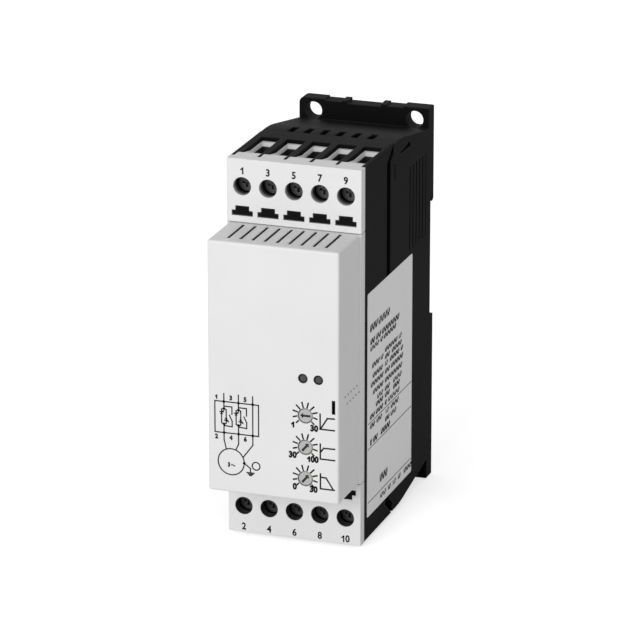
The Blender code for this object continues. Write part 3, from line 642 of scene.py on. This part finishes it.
def thyristorPair(x):
    # two thyristors head to tail between the nodes, and the contact beside them
    line, high, low, corner = wiring["line"], thyristors["high"], thyristors["low"], thyristors["corner"]
    left, right = x + thyristors["left"], x + thyristors["right"]
    marks = path(((x, high), (right, high - corner), (right, low + corner), (x, low),
                  (left, low + corner), (left, high - corner), (x, high)), line)
    for side, z, way in zip((left, right), thyristors["centres"], (1, -1)):
        level = z + way * thyristors["barLift"]
        marks.append(bar((side - thyristors["barHalf"], level), (side + thyristors["barHalf"], level), line))
        wedge = dot((side, z), thyristors["radius"], corners=3)
        if way < 0:
            wedge.rotation_euler.z = turn(180)
            wedge.location = (2 * side * mm, 2 * z * mm, 0.0)
            settle(wedge)
        marks.append(wedge)
        marks += path([(side + across, z + way * up) for across, up in thyristors["gate"]], line)
    for points in thyristors["contact"]:
        marks += path([(x + across, z) for across, z in points], line)
    return marks


def motorMarks():
    x, z = motor["centre"]
    level = z - motor["markDrop"]
    wave = [(x + motor["wavePlace"] + motor["waveStep"] * i,
             level + motor["waveHeight"] * math.sin(turn(motor["waveTurn"] * i)))
            for i in range(motor["wavePoints"])]
    marks = [ring(motor["centre"], motor["radius"], wiring["line"])] + path(wave, motor["waveLine"])
    marks += number(motor["figure"], (x + motor["figurePlace"], level), motor["figureHeight"],
                    wiring["weight"])
    return marks


def earthMarks():
    line = wiring["line"]
    x, z = earth["centre"]
    start = (motor["centre"][0] + motor["radius"], motor["centre"][1])
    marks = [dot(start, wiring["node"]), ring(earth["ring"], earth["ringRadius"], line)]
    marks += path((start, (x, earth["bend"]), (x, z)), line)
    for i, half in enumerate(earth["halves"]):
        marks.append(bar((x - half, z - earth["step"] * i), (x + half, z - earth["step"] * i), line))
    return marks


def wiringDiagram():
    line, node = wiring["line"], wiring["node"]
    left, right, low, high = (wiring[key] for key in ("left", "right", "bottom", "top"))
    marks = path(((left, low), (right, low), (right, high), (left, high), (left, low)), line)
    for i, x in enumerate(wiring["poles"]):
        if i < wiring["switched"]:
            marks += path(((x, wiring["poleTop"]), (x, thyristors["high"])), line)
            marks += path(((x, thyristors["low"]), (x, low)), line)
            marks += thyristorPair(x)
            marks += [dot((x, thyristors["high"]), node), dot((x, thyristors["low"]), node)]
        else:
            marks += path(((x, wiring["poleTop"]), (x, low)), line)
        marks += [dot((x, high), node), dot((x, low), node)]
        marks += path(((x, low), (x, motor["bends"][i]), motor["feeds"][i]), line)
        for value, z in ((2 * i + 1, wiring["numberAbove"]), (2 * i + 2, wiring["numberBelow"])):
            marks += number(value, (x + wiring["numberSide"], z), wiring["height"], wiring["weight"])
    return marks + motorMarks() + earthMarks()


printed("dialPrint", dialScales() + rampSymbols(), inkBlack, "front", raisedFace)
printed("wiringPrint", wiringDiagram(), inkBlack, "front", raisedFace)
print("face print done")

# numbers beside the terminals

terminalMarks = {
    "plate": -27.4,           # front of the plates with the driver holes
    "pitch": 8.66,
    "count": 5,
    "upper": 123.4,
    "lower": 3.2,
    "height": 2.3,
    "weight": 0.045,
}


def terminalNumbers():
    marks = []
    for i in range(terminalMarks["count"]):
        x = (i - (terminalMarks["count"] - 1) / 2) * terminalMarks["pitch"]
        for value, z in ((2 * i + 1, terminalMarks["upper"]), (2 * i + 2, terminalMarks["lower"])):
            marks += number(value, (x, z), terminalMarks["height"], terminalMarks["weight"])
    return marks


printed("terminalPrint", terminalNumbers(), inkBlack, "front", terminalMarks["plate"])

# two rows of dots on the raised box's right side

sideDots = {
    "plane": 21.9,
    "rows": ((-41.3, 56.7), (-39.3, 53.9)),      # first dot of each row
    "count": 5,
    "step": 2.9,
    "radius": 0.36,
    "corners": 12,
}
dots = [dot((start + i * sideDots["step"], z), sideDots["radius"], sideDots["corners"])
        for start, z in sideDots["rows"] for i in range(sideDots["count"])]
printed("sideDots", dots, inkGrey, "right", sideDots["plane"])
print("terminal print done")

# rating label on the right side

label = {
    "plane": 22.5,
    "near": -21.1,
    "far": 25.0,
    "low": 8.7,
    "high": 84.5,
    "corner": 0.7,
    "cornerSteps": 5,
    "film": 0.10,             # thickness of the film and of its ink
    "ink": 0.02,
    "rules": (40.4, 31.8, 13.5),
    "ruleEnds": (-20.2, 24.4),
    "ruleWidth": 0.28,
    "stroke": 0.56,
    "beat": 2.7,              # a run's pattern of strokes repeats about this often
    "strokes": ((0.0, 0.0, 1.0), (0.72, -0.25, 0.55), (1.30, 0.0, 1.0), (1.95, 0.2, 0.65)),
    "rows": (                 # level, height of the strokes, and the start and length of each run
        (72.2, 2.4, ((-18.5, 8.0), (-9.8, 11.8))),
        (67.5, 1.92, ((-18.0, 4.6), (-12.3, 5.4), (-6.2, 18.0))),
        (65.2, 1.6, ((-18.0, 9.0), (-7.8, 2.6), (-4.4, 13.0))),
        (60.2, 1.6, ((-3.0, 13.0), (11.2, 3.6))),
        (59.0, 1.6, ((-16.2, 7.8), (-7.4, 3.0))),
        (57.8, 1.6, ((-3.0, 5.0), (4.0, 10.4))),
        (55.5, 1.6, ((-15.6, 10.4), (-3.0, 3.4), (2.0, 10.0), (13.4, 2.4))),
        (52.8, 1.6, ((-17.4, 13.0), (-3.0, 5.2), (3.4, 12.6))),
        (49.8, 1.6, ((-15.2, 10.8), (-3.0, 18.0))),
        (46.9, 1.6, ((-10.8, 6.2), (-3.0, 5.2), (5.6, 9.0))),
        (44.7, 1.6, ((-12.2, 7.6), (-3.0, 5.2), (5.6, 7.0))),
        (42.1, 1.6, ((-18.2, 5.0), (-12.2, 7.6), (-3.0, 2.0), (0.6, 12.0))),
        (38.9, 1.6, ((-18.0, 5.0), (-11.4, 5.6), (-2.0, 4.0), (3.2, 8.4))),
        (36.3, 1.6, ((-2.6, 4.6), (3.2, 6.0))),
        (33.5, 1.92, ((-18.0, 1.8), (-14.8, 4.6), (-7.0, 9.6))),
        (17.8, 2.56, ((-7.8, 8.0),)),
        (11.5, 1.6, ((-7.4, 6.4), (0.8, 3.0), (5.8, 3.8), (11.2, 3.0), (17.4, 8.0))),
    ),
}


def labelSheet():
    # a rectangle with rounded corners
    near, far, low, high = (label[key] for key in ("near", "far", "low", "high"))
    bpy.ops.object.select_all(action="DESELECT")
    bpy.ops.mesh.primitive_plane_add(size=1.0, location=((near + far) / 2 * mm, (low + high) / 2 * mm, 0.0))
    sheet = bpy.context.object
    sheet.scale = ((far - near) * mm, (high - low) * mm, 1.0)
    settle(sheet)
    bpy.ops.object.mode_set(mode="EDIT")
    bpy.ops.mesh.select_all(action="SELECT")
    bpy.ops.mesh.bevel(offset=label["corner"] * mm, segments=label["cornerSteps"], affect="VERTICES")
    bpy.ops.object.mode_set(mode="OBJECT")
    return sheet


def strokeRun(start, length, z, height):
    # upright strokes of uneven height, one pattern of them repeated along the run
    count = max(1, round(length / label["beat"]))
    beat = length / count
    marks = []
    for place, up, share in label["strokes"]:
        x, middle = start + place * beat / label["beat"], z + up * height
        reach = (height * share - label["stroke"]) / 2
        stroke = bar((x, middle - reach), (x, middle + reach), label["stroke"])
        repeat = stroke.modifiers.new("repeat", "ARRAY")
        repeat.count = count
        repeat.use_relative_offset = False
        repeat.use_constant_offset = True
        repeat.constant_offset_displace = (beat * mm, 0.0, 0.0)
        only(stroke)
        bpy.ops.object.modifier_apply(modifier=repeat.name)
        marks.append(stroke)
    return marks


def labelLines():
    start, end = label["ruleEnds"]
    marks = [bar((start, z), (end, z), label["ruleWidth"]) for z in label["rules"]]
    for z, height, runs in label["rows"]:
        for start, length in runs:
            marks += strokeRun(start, length, z, height)
    return marks


printed("ratingLabel", [labelSheet()], labelFilm, "right", label["plane"], label["film"])
printed("labelPrint", labelLines(), inkBlack, "right", label["plane"] + label["film"], label["ink"])
print("label done")

# stage, light and camera, in metres

studio = {
    "ambient": 0.50,
    "keySize": 0.8,
    "keyPower": 10.5,
    "keyPlace": (-0.25, -1.40, 0.45),
    "aim": (0.0, 0.0, 0.06),
    "floorSize": 6.0,
    "floor": 0.85,
    "floorRoughness": 0.9,
    "floorLift": 0.60,
}


def litWorld():
    # rays that meet the eye see pure white, and the rest a dimmer sky
    world = bpy.data.worlds.new("studioWorld")
    bpy.context.scene.world = world
    sky = Shading(world, "Background")
    direct, glossy, through = (sky.add("ShaderNodeLightPath", {}, {}, ray)
                               for ray in ("Is Camera Ray", "Is Glossy Ray", "Is Transmission Ray"))
    seen = direct.maths("MAXIMUM", direct, glossy.maths("MAXIMUM", glossy, through))
    sky.set("Color", (1.0, 1.0, 1.0, 1.0))
    sky.set("Strength", seen * (1.0 - studio["ambient"]) + studio["ambient"])


def floorPlane():
    bpy.ops.object.select_all(action="DESELECT")
    bpy.ops.mesh.primitive_plane_add(size=studio["floorSize"])
    floor = bpy.context.object
    floor.name = "floor"
    paper = Finish("floorPaper", (studio["floor"],) * 3, studio["floorRoughness"], Specular_IOR_Level=0.0)
    seen = paper.add("ShaderNodeLightPath", {}, {}, "Is Camera Ray")
    paper.set("Emission Color", (1.0, 1.0, 1.0, 1.0))
    paper.set("Emission Strength", seen * studio["floorLift"])
    floor.data.materials.append(paper.material)


def aimed(thing, place, target):
    way = Vector(target) - Vector(place)
    thing.location = place
    thing.rotation_euler = way.to_track_quat("-Z", "Y").to_euler()


def keyLight():
    bpy.ops.object.light_add(type="AREA")
    key = bpy.context.object
    key.data.shape = "SQUARE"
    key.data.size = studio["keySize"]
    key.data.energy = studio["keyPower"]
    aimed(key, studio["keyPlace"], studio["aim"])


photo = {
    "azimuth": 18.99,
    "elevation": 18.45,
    "distance": 1471.8 * mm,
    "lens": 255.99,
    "sensor": 36.0,
    "target": (0.16 * mm, -2.5 * mm, 67.76 * mm),
    "farthest": 20.0,
}


def photoCamera():
    bpy.ops.object.camera_add()
    camera = bpy.context.object
    azimuth, elevation = turn(photo["azimuth"]), turn(photo["elevation"])
    out = Vector((math.sin(azimuth) * math.cos(elevation), -math.cos(azimuth) * math.cos(elevation),
                  math.sin(elevation)))
    aimed(camera, Vector(photo["target"]) + out * photo["distance"], photo["target"])
    camera.data.lens = photo["lens"]
    camera.data.sensor_width = photo["sensor"]
    camera.data.clip_end = photo["farthest"]
    bpy.context.scene.camera = camera


litWorld()
floorPlane()
keyLight()
photoCamera()
bpy.context.scene.view_settings.view_transform = "Standard"
print("stage done")
